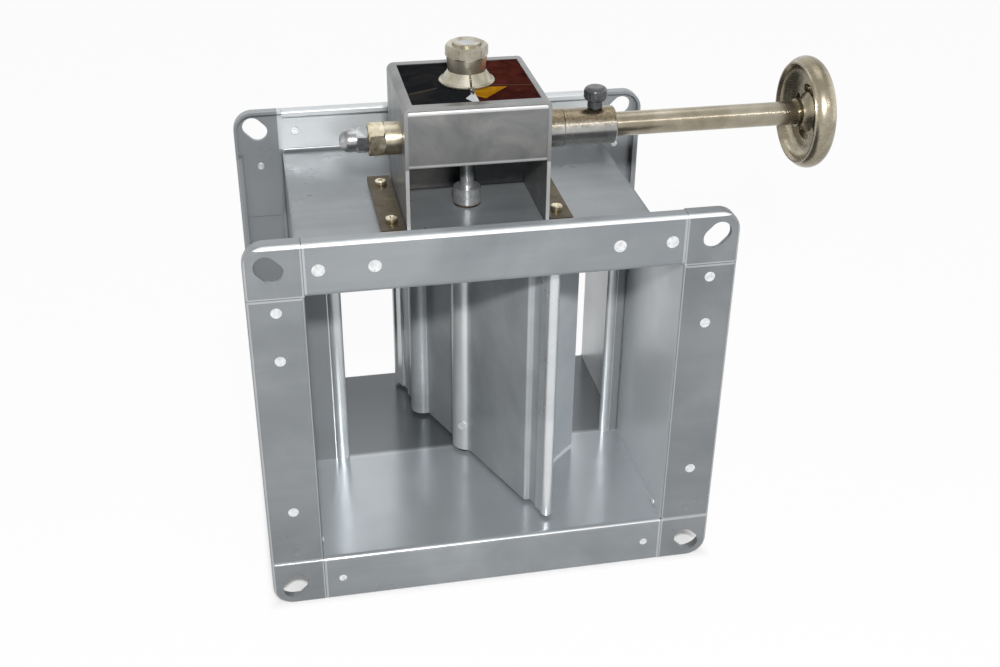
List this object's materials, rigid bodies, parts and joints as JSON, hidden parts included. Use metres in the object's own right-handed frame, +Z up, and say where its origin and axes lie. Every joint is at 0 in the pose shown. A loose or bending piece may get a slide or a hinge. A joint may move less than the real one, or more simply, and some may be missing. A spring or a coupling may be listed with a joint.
{
  "type": "volume damper",
  "caption": "Rectangular duct volume damper: a vertical shaft butterfly blade in a flanged sheet casing, set by a worm gear operator with a handwheel.",
  "frame": {"origin": "centre of the duct opening in the plane of the front flange's mating face", "axes": "+X across the duct towards the handwheel, +Y along the airway from the front flange to the rear one, +Z up along the blade shaft"},
  "size_m": [0.3385, 0.195, 0.2972],
  "materials": {
    "galvanised_sheet": "hot-dip galvanised, satin and faintly mottled",
    "box_steel": "galvanised steel, satin",
    "bright_rivet": "bright",
    "zinc_steel": "bright zinc",
    "satin_nickel": "satin champagne nickel",
    "weathered_nickel": "weathered champagne nickel",
    "brass": "satin brass",
    "bronze": "machined bronze",
    "passivated_strip": "olive passivated",
    "black_knob": "satin black",
    "sign_face": "black and red colour fields"
  },
  "bodies": {
    "casing": {"bottom_panel": "galvanised_sheet", "dome_nut": "zinc_steel", "end_play_adjuster": "zinc_steel", "foot_screws": "brass", "front_bottom_left_corner": "galvanised_sheet", "front_bottom_right_corner": "galvanised_sheet", "front_cover": "box_steel", "front_flange_rivets": "bright_rivet", "front_top_left_corner": "galvanised_sheet", "front_top_right_corner": "galvanised_sheet", "inner_wall": "box_steel", "left_boss": "brass", "left_foot_strip": "passivated_strip", "left_panel": "galvanised_sheet", "left_stop": "galvanised_sheet", "lock_nut": "brass", "lower_bush": "bronze", "operator_bracket": "box_steel", "rear_bottom_left_corner": "galvanised_sheet", "rear_bottom_right_corner": "galvanised_sheet", "rear_cover": "box_steel", "rear_flange_rivets": "bright_rivet", "rear_top_left_corner": "galvanised_sheet", "rear_top_right_corner": "galvanised_sheet", "right_boss": "satin_nickel", "right_foot_strip": "passivated_strip", "right_panel": "galvanised_sheet", "right_stop": "galvanised_sheet", "rod_sleeve": "satin_nickel", "sign_plate": "sign_face", "stop_rivets": "bright_rivet", "thrust_washer": "zinc_steel", "top_bush": "bronze", "top_panel": "galvanised_sheet", "upper_bush": "bronze"},
    "blade": {"blade_front_edge_clip": "galvanised_sheet", "blade_left_skin": "galvanised_sheet", "blade_pins": "bright_rivet", "blade_rear_edge_clip": "galvanised_sheet", "blade_right_skin": "galvanised_sheet", "blade_shaft": "zinc_steel", "guide_vane": "galvanised_sheet", "vane_rivets": "bright_rivet", "shaft_circlip": "zinc_steel", "shaft_coupling": "zinc_steel", "coupling_set_screw": "zinc_steel", "operator_spindle": "zinc_steel", "worm_wheel": "bronze", "position_hub": "weathered_nickel", "hub_nut": "weathered_nickel", "position_pointer": "black_knob"},
    "handwheel": {"worm_shaft": "zinc_steel", "handwheel_rod": "satin_nickel", "handwheel": "satin_nickel", "handwheel_nut": "satin_nickel"},
    "lock_screw": {"lock_screw": "black_knob", "lock_screw_knob": "black_knob"}
  },
  "joints": [
    {"name": "handwheel_turn", "type": "hinge", "parent": "casing", "child": "handwheel", "pos_m": [0, 0.0815, 0.1352], "axis": [1, 0, 0], "range_deg": [-1280, 440]},
    {"name": "blade_turn", "type": "hinge", "parent": "casing", "child": "blade", "pos_m": [0, 0.0975, 0], "axis": [0, 0, 1], "range_deg": [-22, 64]},
    {"name": "lock_screw_travel", "type": "slide", "parent": "casing", "child": "lock_screw", "axis": [0, 0, 1], "range_m": [0, 0.003]}
  ],
  "couplings": [
    {"joint": "blade_turn", "follows": "handwheel_turn", "ratio": -0.05}
  ]
}
